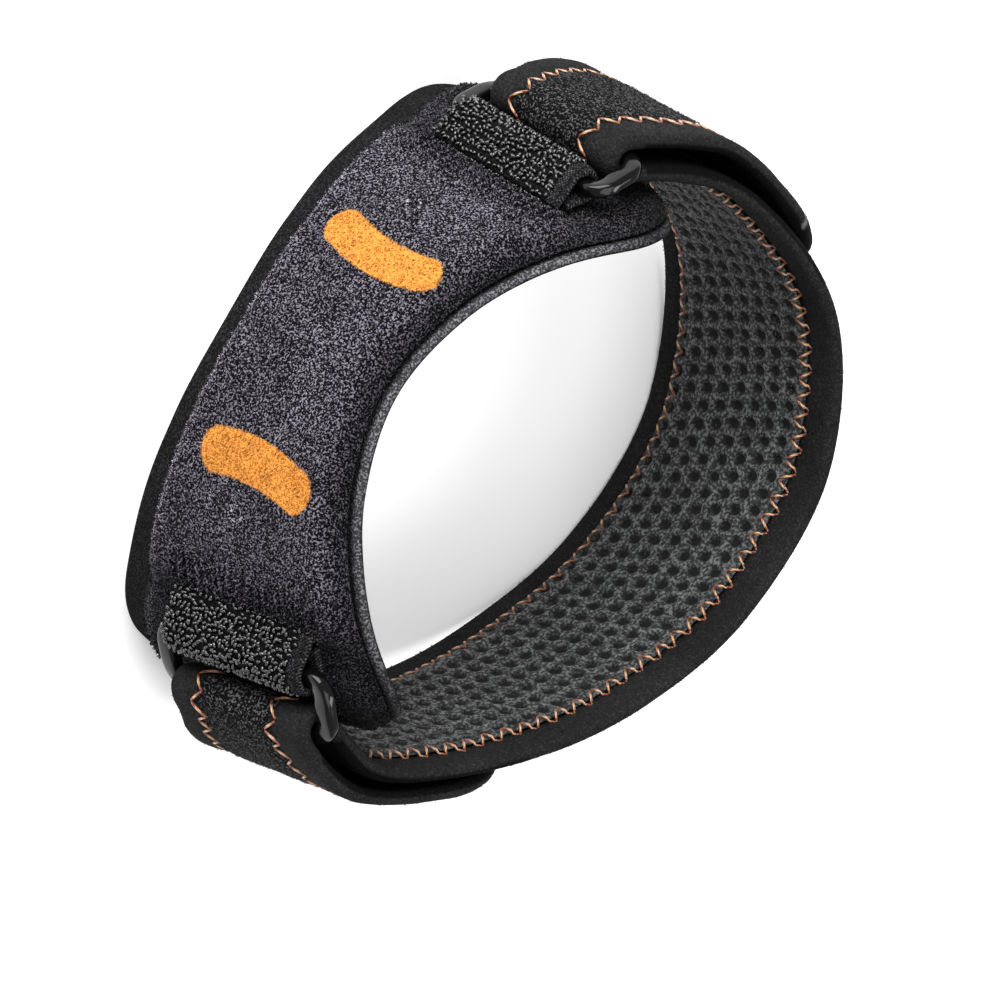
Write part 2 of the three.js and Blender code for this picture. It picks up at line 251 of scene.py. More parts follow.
def setUv(piece, perPoint):
    # one value per point, on the piece's own map
    index = readAll(piece.data.loops, "vertex_index", 1, np.int32)
    layer = piece.data.uv_layers.get("cloth") or piece.data.uv_layers.new(name="cloth")
    writeAll(layer.data, "uv", perPoint[index])
    piece.data.uv_layers.active = layer


def finishMesh(piece, weld=1e-6):
    # welds what meets, closes open ends and turns every face outwards
    onlyThis(piece)
    bpy.ops.object.mode_set(mode="EDIT")
    bpy.ops.mesh.select_all(action="SELECT")
    if weld:
        bpy.ops.mesh.remove_doubles(threshold=weld)
        bpy.ops.mesh.select_all(action="SELECT")
    bpy.ops.mesh.fill_holes(sides=0)
    bpy.ops.mesh.select_all(action="SELECT")
    bpy.ops.mesh.normals_make_consistent(inside=False)
    bpy.ops.object.mode_set(mode="OBJECT")


def layGrid(name, points, uv, **layers):
    # a grid with as many corners as there are points, laid on the points, then welded and capped
    rows, columns = points.shape[:2]
    deselect()
    bpy.ops.mesh.primitive_grid_add(x_subdivisions=rows - 1, y_subdivisions=columns - 1, size=1, calc_uvs=False)
    piece = bpy.context.object
    piece.name = piece.data.name = name
    flat = readPoints(piece)
    i = np.rint((flat[:, 0] + 0.5) * (rows - 1)).astype(int)
    j = np.rint((flat[:, 1] + 0.5) * (columns - 1)).astype(int)
    laid = points[i, j].copy()
    laid[:, 2] = np.maximum(laid[:, 2], lowestPoint)
    writePoints(piece, laid)
    setUv(piece, uv[i, j])
    for layer, values in {"shade": np.ones((rows, columns)), **layers}.items():
        setLayer(piece, layer, values[i, j])
    finishMesh(piece)
    bpy.ops.object.shade_smooth()
    return piece


def bandRing(half, bow, across):
    # a band's section: its inner face upwards, the upper edge, its outer face downwards, the lower edge
    edge = 7
    share = np.linspace(0, 1, across)
    turn = np.linspace(-math.pi / 2, math.pi / 2, edge + 2)[1:-1]
    level, rise = np.full(across, half), half * np.sin(turn)
    off = np.concatenate([-level, rise, level, -rise, [-half]])
    shares = np.concatenate([share, np.ones(edge), share[::-1], np.zeros(edge), [0]])
    past = np.concatenate([level * 0, bow * np.cos(turn), level * 0, -bow * np.cos(turn), [0]])
    return off, shares, past


def layBand(name, route, thick, low, high, across, step=1.0, bow=None, relief=lambda *facts: 0.0, ends=0.6,
            **layers):
    # a cloth band along a route, closed all round, with soft edges; relief adds to its two faces, and
    # the outer face lies further up the cloth map
    bow = thick * 0.5 if bow is None else bow
    off, shares, past = bandRing(thick / 2, bow, across)
    face = off / (thick / 2)
    length = route["length"]
    close = np.array([0.12, 0.3, ends])
    d = np.sort(np.concatenate([dense(0, length, step), close, length - close]))
    tip = np.clip(np.minimum(d, length - d) / ends, 0, 1)
    slim = np.sqrt(np.clip(1 - (1 - tip) ** 2, 0.04, 1))[:, None]
    lowZ, highZ = (np.interp(d, route["distance"], edge)[:, None] for edge in (low, high))
    d = d[:, None]
    z = lowZ + bow + (highZ - lowZ - 2 * bow) * shares + past
    facts = (d, z, np.broadcast_to(face, z.shape), lowZ, highZ)
    points = onRibbon(route, d, (off + face * relief(*facts)) * slim, z)
    uv = np.stack([np.broadcast_to(d, z.shape), z + faceShift * (face > 0)], -1) / 1000
    tones = {key: np.broadcast_to(rule(*facts), z.shape) for key, rule in layers.items()}
    return layGrid(name, points, uv, **tones)


def fromArrays(name, points, faces, uv):
    mesh = bpy.data.meshes.new(name)
    mesh.from_pydata(points.tolist(), [], faces.tolist())
    piece = bpy.data.objects.new(name, mesh)
    bpy.context.scene.collection.objects.link(piece)
    setUv(piece, uv)
    setLayer(piece, "shade", np.ones(len(points)))
    onlyThis(piece)
    bpy.ops.object.shade_smooth()
    return piece


def tubes(name, paths, radius, lift):
    # many short round threads as one mesh: paths is (threads, points, 3), lift a direction for each
    count, rings = paths.shape[:2]
    sides, slimEnd = 6, 0.55
    way = unit(np.gradient(paths, axis=1))
    across = unit(np.cross(way, np.broadcast_to(lift[:, None], way.shape)))
    rise = np.cross(across, way)
    angle = np.arange(sides) * 2 * math.pi / sides
    taper = radius * np.array([slimEnd] + [1.0] * (rings - 2) + [slimEnd])
    ring = across[:, :, None] * np.cos(angle)[:, None] + rise[:, :, None] * np.sin(angle)[:, None]
    points = paths[:, :, None] + ring * taper[None, :, None, None]
    index = np.arange(count * rings * sides).reshape(count, rings, sides)
    nxt = np.roll(index, -1, axis=2)
    quads = np.stack([index[:, :-1], nxt[:, :-1], nxt[:, 1:], index[:, 1:]], -1).reshape(-1, 4)
    flat = np.meshgrid(np.linspace(0, 1, rings), np.arange(sides) / sides, indexing="ij")
    uv = np.tile(np.stack(flat, -1).reshape(-1, 2), (count, 1))
    piece = fromArrays(name, points.reshape(-1, 3), quads, uv)
    finishMesh(piece, 0)
    return piece


def wobble(x, y, seed, size):
    # a smooth uneven field over two coordinates
    r = np.random.default_rng(seed)
    total = np.zeros(np.broadcast(x, y).shape)
    for _ in range(7):
        a, b, c = r.normal(0, 1 / size), r.normal(0, 1 / size), r.uniform(0, 2 * math.pi)
        total = total + np.sin(a * x + b * y + c)
    return total / 2.6


def pickSpots(piece, count, wanted):
    # places spread evenly over a mesh of four-sided faces, with the face's normal and the cloth map's value
    mesh = piece.data
    sides, first = (readAll(mesh.polygons, key, 1, np.int32) for key in ("loop_total", "loop_start"))
    corner = readAll(mesh.loops, "vertex_index", 1, np.int32)
    flat = readAll(mesh.uv_layers["cloth"].data, "uv", 2)
    faces = np.flatnonzero(sides == 4)
    loops = first[faces][:, None] + np.arange(4)
    keep = wanted(flat[loops].mean(1) * 1000)
    faces, loops = faces[keep], loops[keep]
    share = readAll(mesh.polygons, "area")[faces].astype(float)
    chosen = rng.choice(len(faces), count, p=share / share.sum())
    u, v = rng.uniform(size=(2, count))
    weight = np.stack([(1 - u) * (1 - v), u * (1 - v), u * v, (1 - u) * v], 1)[..., None]
    spots = (readPoints(piece)[corner[loops[chosen]]] * weight).sum(1)
    return spots, readAll(mesh.polygons, "normal", 3)[faces[chosen]], (flat[loops[chosen]] * weight).sum(1)


def sideways(rise):
    # any direction at right angles to each of these
    side = rng.normal(size=rise.shape)
    return unit(side - (side * rise).sum(1, keepdims=True) * rise)


def fibres(name, foot, rise, uv, look):
    # short flat fibres as one mesh, each a strip of two squares that curls over
    count = len(foot)
    side = sideways(rise)
    lie = np.cross(rise, side)
    tall = look["tall"] / 1000 * rng.uniform(0.6, 1.2, (count, 1))
    lean = look["lean"] / 1000 * rng.uniform(0.4, 1.3, (count, 1))
    half = side * look["wide"] / 2000 * rng.uniform(0.7, 1.3, (count, 1))
    foot = foot - rise * look["sunk"] / 1000
    middle = foot + rise * tall + lie * lean * 0.45
    tip = foot + rise * tall * look["fall"] + lie * lean
    pairs = ((foot, half), (middle, half), (tip, half * 0.4))
    points = np.stack([edge for at, wide in pairs for edge in (at - wide, at + wide)], 1)
    quads = np.array([[0, 1, 3, 2], [2, 3, 5, 4]]) + perFibre * np.arange(count)[:, None, None]
    points[..., 2] = np.maximum(points[..., 2], lowestPoint)
    return fromArrays(name, points.reshape(-1, 3), quads.reshape(-1, 4), np.repeat(uv, perFibre, 0))


def newMaterial(name, base, rough, shine, **sockets):
    material = bpy.data.materials.new(name)
    material.use_nodes = True
    shader = material.node_tree.nodes["Principled BSDF"]
    known = {"Base Color": (*base, 1), "Roughness": rough, "Specular IOR Level": shine}
    for socket, value in {**known, **sockets}.items():
        shader.inputs[socket].default_value = value
    return material, material.node_tree, shader


def feed(tree, sockets, values):
    # joins each socket to another one, or sets it to a number, a colour or a list
    for socket, value in zip(sockets, values):
        if isinstance(value, bpy.types.NodeSocket):
            tree.links.new(value, socket)
        else:
            socket.default_value = (*value, 1) if isinstance(value, tuple) else value


def addNode(tree, kind, **values):
    node = tree.nodes.new("ShaderNode" + kind)
    for key, value in values.items():
        if key in node.inputs:
            feed(tree, [node.inputs[key]], [value])
        else:
            setattr(node, key, value)
    return node


def calculate(tree, operation, *values, kind="Math"):
    node = addNode(tree, kind, operation=operation)
    feed(tree, node.inputs, values)
    return node.outputs[0]


def mixColours(tree, factor, first, second, blend="MIX"):
    mix = addNode(tree, "Mix", data_type="RGBA", blend_type=blend)
    feed(tree, [mix.inputs["Factor"]] + [s for s in mix.inputs if s.type == "RGBA"], (factor, first, second))
    return next(socket for socket in mix.outputs if socket.type == "RGBA")


def mapRange(tree, value, fromLow, fromHigh, toLow, toHigh, smooth=False):
    ends = {"From Min": fromLow, "From Max": fromHigh, "To Min": toLow, "To Max": toHigh}
    bend = "SMOOTHSTEP" if smooth else "LINEAR"
    return addNode(tree, "MapRange", interpolation_type=bend, Value=value, **ends).outputs["Result"]


def bumped(tree, shader, height, strength, distance):
    bump = addNode(tree, "Bump", Strength=strength, Distance=distance, Height=height)
    feed(tree, [shader.inputs["Normal"]], [bump.outputs["Normal"]])


def makeGroup(name, numbers, results):
    # a group that takes a vector and some numbers and gives other numbers
    tree = bpy.data.node_groups.new(name, "ShaderNodeTree")
    tree.interface.new_socket("Vector", in_out="INPUT", socket_type="NodeSocketVector")
    for way, labels in (("INPUT", numbers), ("OUTPUT", results)):
        for label in labels:
            tree.interface.new_socket(label, in_out=way, socket_type="NodeSocketFloat")
    return tree, tree.nodes.new("NodeGroupInput").outputs, tree.nodes.new("NodeGroupOutput").inputs


def fleckGroup():
    # fine flecks of light fibre over a dark ground, with a height for the bump and a broad unevenness
    tree, given, results = makeGroup("fibreFlecks", ["Scale", "Low", "High", "Nap"], ["Fleck", "Height", "Broad"])
    fine, nap = (addNode(tree, "TexNoise", Vector=given["Vector"], Scale=given[key], Detail=detail,
                         Roughness=0.6).outputs["Fac"] for key, detail in (("Scale", 1.0), ("Nap", 3.0)))
    feed(tree, results, (mapRange(tree, fine, given["Low"], given["High"], 0.0, 1.0, True), fine, nap))
    return tree


flecks = fleckGroup()
plainCloth = {"rough": 0.9, "nap": 90, "napDark": 0.7, "bump": 0.0002}


def fleckedCloth(name, ownLook, **sockets):
    look = {**plainCloth, **ownLook}
    material, tree, shader = newMaterial(name, look["dark"], look["rough"], look["shine"], **sockets)
    where = addNode(tree, "TexCoord").outputs["Object"]
    fleck = addNode(tree, "Group", node_tree=flecks, Vector=where,
                    **{key: look[key.lower()] for key in ("Scale", "Low", "High", "Nap")}).outputs
    layer = lambda name: addNode(tree, "Attribute", attribute_name=name).outputs["Fac"]
    colour = mixColours(tree, fleck["Fleck"], look["dark"], look["light"])
    if "calm" in look:
        colour = mixColours(tree, layer("calm"), colour, look["calm"])
    # the shade layer brings painted shade and painted highlights into the colour
    for dim in (mapRange(tree, fleck["Broad"], 0.3, 0.7, look["napDark"], 1.0), layer("shade")):
        colour = mixColours(tree, 1.0, colour, dim, "MULTIPLY")
    feed(tree, [shader.inputs["Base Color"]], [colour])
    bumped(tree, shader, fleck["Height"], 1.0, look["bump"])
    return material, tree, shader, fleck["Height"], colour


def dress(piece, material):
    piece.data.materials.clear()
    piece.data.materials.append(material)


def settlePiece(piece, material, slot, *nodes):
    dress(piece, material)
    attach(piece, "root")
    if nodes:
        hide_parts(*nodes)


# The pad's backing, a bound layer whose cut edge shows lighter along the upper side.
padOutline = {
    "s": [0, 18, 30, 43, 52, 58, 63, 66.5, 69],
    "low": [3.6, 1.2, -2, -6, -9.4, -11, -10.6, -6.5, 2],
    "high": [42.1, 44.1, 46.6, 49.2, 50.2, 49.4, 47.2, 43.5, 38],
}
backing = {"half": 69, "step": 0.5, "thick": 1.5, "rimShade": 9.0, "rimFade": 0.75,
           "dark": (0.003, 0.003, 0.0033), "light": (0.018, 0.018, 0.0192), "shine": 0.08,
           "scale": 2600, "low": 0.47, "high": 0.64, "napDark": 0.6}


def padEdge(s, column):
    return along(padOutline, abs(s), column)


def rimTone(d, z, face, low, high):
    # lighter along the upper edge, but less so towards the wings' ends
    s = np.interp(d, backLine["distance"], backS)
    edge = ramp(z, high - 1.5, high - 1) * ramp(face, -0.35, 0.15)
    return 1 + (backing["rimShade"] - 1) * edge * (1 - backing["rimFade"] * ramp(abs(s), 40, 58))


backS = dense(-backing["half"], backing["half"], backing["step"])
backLine = ribbon(backS, np.full(len(backS), backing["thick"] / 2), True)
padBacking = layBand("padBacking", backLine, backing["thick"], padEdge(backS, "low"), padEdge(backS, "high"),
                     across=56, shade=rimTone)
settlePiece(padBacking, fleckedCloth("backingCloth", backing)[0], "binding", "pad_backing")
print("backing laid")

# The plush cushion: a bevelled shell, puffed by a cloth simulation, gathered at the tabs' seams.
cushion = {
    "top": {"s": [0, 20, 36.5, 40.6, 43, 44.8, 49, 58, 67], "top": [7.2, 7.2, 7, 6.3, 4.9, 3.9, 3.9, 5, 5.3]},
    "lowerRim": {"s": [0, 30, 43, 60], "rim": [5.4, 6.4, 6.4, 4.8]},
    "half": 67, "base": 1.8, "upperRim": 1.3, "bevel": 4.2, "wall": 0.28, "slack": 0.35, "endRound": 2.2,
    "step": 0.9, "pressure": 4.0, "cap": 0.0007, "frames": 20, "pucker": 0.95, "puckerPitch": 1.9,
    "dark": (0.0026, 0.0023, 0.0033), "light": (0.186, 0.173, 0.207), "rough": 0.95, "shine": 0.05,
    "scale": 2700, "low": 0.49, "high": 0.63, "nap": 70, "bump": 0.0004, "crestHighlight": 1.1,
    "ink": (0.56, 0.225, 0.042), "inkDeep": (0.28, 0.095, 0.015), "inkRagged": 0.0005, "inkSoft": 0.0002,
}
pile = {"count": 36000, "tall": 0.5, "lean": 0.5, "wide": 0.19, "sunk": 0.15, "fall": 0.95,
        "tones": [0.3, 1.0, 1.6], "shares": [0.4, 0.4, 0.2]}
marks = [{"centre": -17.0, "bend": -0.0130, "mid": 29.0, "low": 17.9, "high": 37.2, "radius": 3.25},
         {"centre": 18.7, "bend": 0.0135, "mid": 24.5, "low": 18.0, "high": 35.8, "radius": 3.5}]
pins = {"at": [(-27.7, 24.2), (26.8, 24.4)], "bare": 1.2, "depth": 0.8, "ring": 1.15}


def plushLow(s):
    # where the plush begins; the backing shows as a dark rim below it
    return padEdge(s, "low") + along(cushion["lowerRim"], abs(s), "rim")


def plushHigh(s):
    return padEdge(s, "high") - cushion["upperRim"]


def cushionShell():
    s = dense(-cushion["half"], cushion["half"], cushion["step"])
    low, high = plushLow(s)[:, None], plushHigh(s)[:, None]
    end = ramp(abs(s), cushion["half"] - cushion["endRound"], cushion["half"])
    full = (along(cushion["top"], abs(s), "top") - cushion["base"] - cushion["slack"]) * np.sqrt(1.02 - end**2)
    rise = np.linspace(0, 1, 15)
    bevelRise = cushion["wall"] + (1 - cushion["wall"]) * np.sin(rise * math.pi / 2)
    bevelZ = cushion["bevel"] * rise
    across, under = np.linspace(0, 1, 46)[1:-1], np.linspace(0, 1, 16)
    z = np.concatenate([low + bevelZ, low + cushion["bevel"] + (high - low - 2 * cushion["bevel"]) * across,
                        high - bevelZ[::-1], high + (low - high) * under, low + bevelZ[:1]], 1)
    up = np.concatenate([bevelRise, np.ones(len(across)), bevelRise[::-1], under * 0, bevelRise[:1]])
    n = cushion["base"] + full[:, None] * up
    plan = skinPoint(s)[:, None] + outward(s)[:, None] * n[..., None]
    sAt = s[:, None] * np.ones_like(z)
    return layGrid("plushCushion", raised(plan, sAt, z, True) + shift, np.stack([sAt, z], -1) / 1000)


def puff(piece):
    # filled by pressure with its base held; no point moves further than the cap
    start = readPoints(piece)
    held = piece.vertex_groups.new(name="sewn")
    held.add(np.flatnonzero(findPlace(start)[1] < cushion["base"] + 0.35).tolist(), 1.0, "REPLACE")
    cloth = piece.modifiers.new("puff", "CLOTH")
    cloth.settings.vertex_group_mass = held.name
    cloth.settings.use_pressure = True
    cloth.settings.uniform_pressure_force = cushion["pressure"]
    cloth.settings.effector_weights.gravity = 0
    cloth.settings.quality = 5
    scene = bpy.context.scene
    for count in range(1, cushion["frames"] + 1):
        scene.frame_set(count)
    onlyThis(piece)
    bpy.ops.object.modifier_apply(modifier=cloth.name)
    scene.frame_set(1)
    moved = readPoints(piece) - start
    far = np.linalg.norm(moved, axis=1, keepdims=True)
    print("cushion puffed by up to", far.max().round(5))
    writePoints(piece, start + moved * np.minimum(1, cushion["cap"] / np.maximum(far, 1e-9)))


def plushPaintedLight(s, z):
    # painted shade at the foot of the upper bevel, most at the pad's middle; a painted highlight on the crest
    # of the lower bevel; painted shade on the wings, which lie in the shade of the buckles and the strap
    away, high = abs(s), plushHigh(s)
    upper = ramp(z, high - 2.8, high - 0.4) * (0.68 - 0.3 * ramp(away, 30, 42))
    crestHighlight = np.exp(-((z - plushLow(s) - cushion["bevel"] * 0.55) / 1.1) ** 2)
    wings = 1 - 0.68 * ramp(away, 36, 45) - 0.2 * ramp(away, 53, 61)
    return (1 - upper) * (1 + cushion["crestHighlight"] * crestHighlight) * wings


def puckered(piece):
    # gathers that run from the tabs' seams on to the plush, and the two pin dents
    co, normal = readPoints(piece), readAll(piece.data.vertex_normals, "vector", 3)
    s, n, z = findPlace(co)
    away, low = abs(s), plushLow(s)
    face = ramp(n, 3, 4.2)
    gather = face * ramp(away, 32, 40) ** 1.6 * ramp(away, 46, 44) * ramp(z, 8, 11) * ramp(z, 44.5, 41.5)
    wave = np.sin(2 * math.pi * (z + 1.1 * wobble(s, z, 4, 5)) / cushion["puckerPitch"])
    depth = cushion["pucker"] * gather * wave + 0.12 * face * wobble(s, z, 9, 7)
    gaps = [np.hypot(s - pinS, z - pinZ) for pinS, pinZ in pins["at"]]
    pinned = sum(np.exp(-(gap**2) / 0.5) for gap in gaps)
    ringed = sum(np.exp(-(((gap - pins["ring"]) / 0.35) ** 2)) for gap in gaps)
    writePoints(piece, co + normal * (depth - pins["depth"] * face * pinned)[:, None] / 1000)
    setUv(piece, np.stack([s, z], 1) / 1000)
    # painted shade at the foot of the lower bevel, in the gathers' valleys and in the middle of each pin dent;
    # lighter in a ring round each pin
    foot, valley = ramp(z, low + 1.2, low), gather * np.clip(0.6 - wave, 0, 1)
    shade = plushPaintedLight(s, z) * (1 - 0.6 * foot) * (1 - 0.6 * valley)
    setLayer(piece, "shade", shade * (1 - 0.9 * np.clip(pinned * 1.2, 0, 1)) * (1 + 1.4 * ringed))


def markGroup():
    # a curved rounded bar on the cloth map, in metres
    tree, given, results = makeGroup("roundedMark", ["Centre", "Bend", "Mid", "Low", "High", "Radius"], ["Mask"])
    work = lambda *parts: calculate(tree, *parts)
    flat = addNode(tree, "SeparateXYZ", Vector=given["Vector"]).outputs
    held = work("MINIMUM", work("MAXIMUM", flat["Y"], given["Low"]), given["High"])
    fromMid = work("SUBTRACT", held, given["Mid"])
    axis = work("ADD", given["Centre"], work("MULTIPLY", given["Bend"], work("MULTIPLY", fromMid, fromMid)))
    wide, tall = work("SUBTRACT", flat["X"], axis), work("SUBTRACT", flat["Y"], held)
    gap = work("SQRT", work("ADD", work("MULTIPLY", wide, wide), work("MULTIPLY", tall, tall)))
    inside, soft = work("SUBTRACT", given["Radius"], gap), cushion["inkSoft"]
    feed(tree, results, [mapRange(tree, inside, -soft, soft, 0.0, 1.0)])
    return tree


def plushMaterial():
    sheen = {"Sheen Weight": 0.02, "Sheen Roughness": 0.5}
    material, tree, shader, height, colour = fleckedCloth("plush", cushion, **sheen)
    uv = addNode(tree, "UVMap", uv_map="cloth").outputs["UV"]
    shake = addNode(tree, "TexNoise", Vector=uv, Scale=1500.0, Detail=1.0).outputs["Color"]
    ragged = [cushion["inkRagged"], cushion["inkRagged"], 0]
    where = calculate(tree, "MULTIPLY_ADD", shake, ragged, uv, kind="VectorMath")
    ink = mixColours(tree, mapRange(tree, height, 0.36, 0.5, 0.0, 1.0), cushion["inkDeep"], cushion["ink"])
    shape = markGroup()
    for mark in marks:
        lengths = {key: mark[key.lower()] / 1000 for key in ("Centre", "Mid", "Low", "High", "Radius")}
        printed = addNode(tree, "Group", node_tree=shape, Vector=where, Bend=mark["bend"] * 1000, **lengths)
        colour = mixColours(tree, printed.outputs["Mask"], colour, ink)
    feed(tree, [shader.inputs["Base Color"]], [colour])
    return material


plush = plushMaterial()
cushionPiece = cushionShell()
puff(cushionPiece)
onlyThis(cushionPiece)
finer = cushionPiece.modifiers.new("finer", "SUBSURF")
finer.levels = finer.render_levels = 1
bpy.ops.object.modifier_apply(modifier=finer.name)
bpy.ops.object.shade_smooth()
puckered(cushionPiece)
settlePiece(cushionPiece, plush, "plush", "front_pad")


def plushPile():
    # short pile over the cushion's face, none under the tabs or at the pins
    def showing(flat):
        s, z = flat.T
        bare = (abs(s) > 44) & (abs(s) < 52) & (z > 11) & (z < 41)
        for pinS, pinZ in pins["at"]:
            bare = bare | (np.hypot(s - pinS, z - pinZ) < pins["bare"])
        return ~bare

    foot, rise, uv = pickSpots(cushionPiece, pile["count"], showing)
    s, n, z = findPlace(foot)
    keep = n > cushion["base"] + 0.3
    piece = fibres("plushPile", foot[keep], rise[keep], uv[keep], pile)
    # the fibres take the plush's painted shade and highlights, times a random tone
    tone = plushPaintedLight(s[keep], z[keep]) * rng.choice(pile["tones"], keep.sum(), p=pile["shares"])
    setLayer(piece, "shade", np.repeat(tone, perFibre))
    return piece


settlePiece(plushPile(), plush, "plush")
print("cushion and its pile made")

# The webbing tabs: a dense base with looped yarn all over and a plain woven selvage along the upper edge.
webbing = {"dark": (0.0012, 0.0012, 0.0013), "light": (0.008, 0.008, 0.0085), "rough": 0.8, "shine": 0.05,
           "scale": 2400, "low": 0.42, "high": 0.7}
yarn = {"dark": (0.0015, 0.0015, 0.0016), "light": (0.009, 0.009, 0.0095), "rough": 0.22, "shine": 0.85,
        "scale": 3000, "low": 0.45, "high": 0.75, "nap": 120, "napDark": 0.8, "bump": 0.00006}
webbingBase, webbingYarn = (fleckedCloth(name, look)[0]
                            for name, look in (("webbingBase", webbing), ("webbingYarn", yarn)))


def selvage(d, z, high):
    # whether a place lies on the selvage, and its weave
    turn = 2 * math.pi / tabs["weave"]
    return ramp(z, high - tabs["selvage"], high - tabs["selvage"] + 0.3), np.sin(turn * d) * np.sin(turn * z)


def webbingRise(d, z, face, low, high):
    edge, weave = selvage(d, z, high)
    return tabs["weaveRise"] * edge * weave + 0.06 * wobble(d, z, 3, 1.2)


def webbingTone(d, z, face, low, high):
    edge, weave = selvage(d, z, high)
    return 1 + edge * (0.6 + tabs["weaveLight"] * np.clip(weave, 0, 1))


def yarnLoops(name, route, outer):
    # outer is the sign of the showing face; the yarn stands in rows on it, and on the sewn end too
    pitch, stray, end = tabs["loopPitch"], tabs["stray"], route["length"]
    top = tabs["high"] - tabs["selvage"]
    d, z = (grid.ravel() for grid in np.meshgrid(np.arange(1.2, end - 0.1, pitch),
                                                 np.arange(tabs["low"] + 0.3, top, pitch)))
    d = d + rng.normal(0, stray, len(d)) * pitch
    z = z + rng.normal(0, stray, len(z)) * pitch
    foot = onRibbon(route, d, outer * (tabs["thick"] / 2 - tabs["sunk"]), z)
    lift = onRibbon(route, d, outer * (tabs["thick"] / 2 + 0.9), z) - foot
    endZ = np.tile(np.arange(tabs["low"] + 0.4, top, pitch), 2)
    endOff = np.repeat([outer * 0.35, outer * -0.45], len(endZ) // 2)
    endFoot = onRibbon(route, end, endOff, endZ + rng.normal(0, stray, len(endZ)))
    endLift = endFoot - onRibbon(route, end - 0.6, endOff, endZ)
    foot, lift = np.concatenate([foot, endFoot])[:, None], unit(np.concatenate([lift, endLift]))
    flat = sideways(lift)
    count, across = len(lift), np.cross(lift, flat)
    size = tabs["loopSize"] / 1000 * rng.uniform(0.8, 1.25, (count, 1))
    tip = lift + rng.normal(0, 0.45, (count, 1)) * across
    turn = np.linspace(0, math.pi, 8)
    paths = (foot + flat[:, None] * (size * np.cos(turn))[..., None]
             + tip[:, None] * (size * tabs["loopTall"] * np.sin(turn))[..., None])
    return tubes(name, paths, tabs["loopThick"] / 1000, across)


for side, hand in hands.items():
    route = ribbon(*tabRoute(hand, tabs["hem"]))
    low, high = (np.full(len(route["s"]), tabs[key]) for key in ("low", "high"))
    piece = layBand("webbingTab." + side, route, tabs["thick"], low, high, across=210, step=0.15,
                    relief=webbingRise, ends=0.3, shade=webbingTone)
    loops = yarnLoops("webbingTab." + side + "Loops", route, -hand)
    settlePiece(piece, webbingBase, "webbing", "tab_" + side)
    settlePiece(loops, webbingYarn, "webbing")
print("tabs laid")

# The buckles: oblong rings of moulded plastic, flat faced with eased corners.
buckle = {"barHalf": 1.25, "limbHalf": 1.7, "low": 8, "high": 44.3, "corner": 3.0, "around": 40, "path": 200,
          "boxy": 3.4, "black": (0.002, 0.002, 0.0022), "rough": (0.07, 0.17), "shine": 0.24}


def buckleRing(name, hand):
    deselect()
    bpy.ops.mesh.primitive_torus_add(major_segments=buckle["path"], minor_segments=buckle["around"],
                                     major_radius=1, minor_radius=0.25)
    piece = bpy.context.object
    piece.name = piece.data.name = name
    x, y, h = readPoints(piece).T
    share = np.mod(np.arctan2(y, x) / (2 * math.pi), 1)
    angle = np.arctan2(h, np.hypot(x, y) - 1)
    wide = (outerBar["s"] - innerBar["s"]) / 2 - buckle["corner"]
    tall = (buckle["high"] - buckle["low"]) / 2 - buckle["corner"]
    arc = np.linspace(0, math.pi / 2, 24)
    path, facing = [], []
    for right, up, start in ((1, 1, 0), (-1, 1, 1), (-1, -1, 2), (1, -1, 3)):
        way = np.stack([np.cos(arc + start * math.pi / 2), np.sin(arc + start * math.pi / 2)], 1)
        path.append(np.array([right * wide, up * tall]) + buckle["corner"] * way)
        facing.append(way)
    path, facing = (np.concatenate(parts + [parts[0][:1]]) for parts in (path, facing))
    run = runLength(path)
    s, z, outS, outZ = (np.interp(share * run[-1], run, column) for column in (*path.T, *facing.T))
    outS, outZ = unit(np.stack([outS, outZ], 1)).T
    s, z = s + (innerBar["s"] + outerBar["s"]) / 2, z + (buckle["low"] + buckle["high"]) / 2
    n = innerBar["n"] + (outerBar["n"] - innerBar["n"]) * (s - innerBar["s"]) / (outerBar["s"] - innerBar["s"])
    half = buckle["barHalf"] + (buckle["limbHalf"] - buckle["barHalf"]) * abs(outZ)
    boxed = lambda v: np.sign(v) * abs(v) ** (2 / buckle["boxy"])
    off, rise = half * boxed(np.cos(angle)), buckle["barHalf"] * boxed(np.sin(angle))
    s, n, z = hand * (s + outS * off), n + rise, z + outZ * off
    writePoints(piece, raised(skinPoint(s) + outward(s) * n[:, None], s, z) + shift)
    finishMesh(piece)
    bpy.ops.object.shade_smooth()
    return piece


def plasticMaterial():
    material, tree, shader = newMaterial("bucklePlastic", buckle["black"], 0.2, buckle["shine"])
    where = addNode(tree, "TexCoord").outputs["Object"]
    haze = addNode(tree, "TexNoise", Vector=where, Scale=420.0, Detail=4.0, Roughness=0.6).outputs["Fac"]
    feed(tree, [shader.inputs["Roughness"]], [mapRange(tree, haze, 0.3, 0.7, *buckle["rough"])])
    bumped(tree, shader, haze, 0.3, 0.00003)
    return material


plastic = plasticMaterial()
for side, hand in hands.items():
    settlePiece(buckleRing("buckleRing." + side, hand), plastic, "buckle_plastic", "buckle_" + side)
print("buckles set")

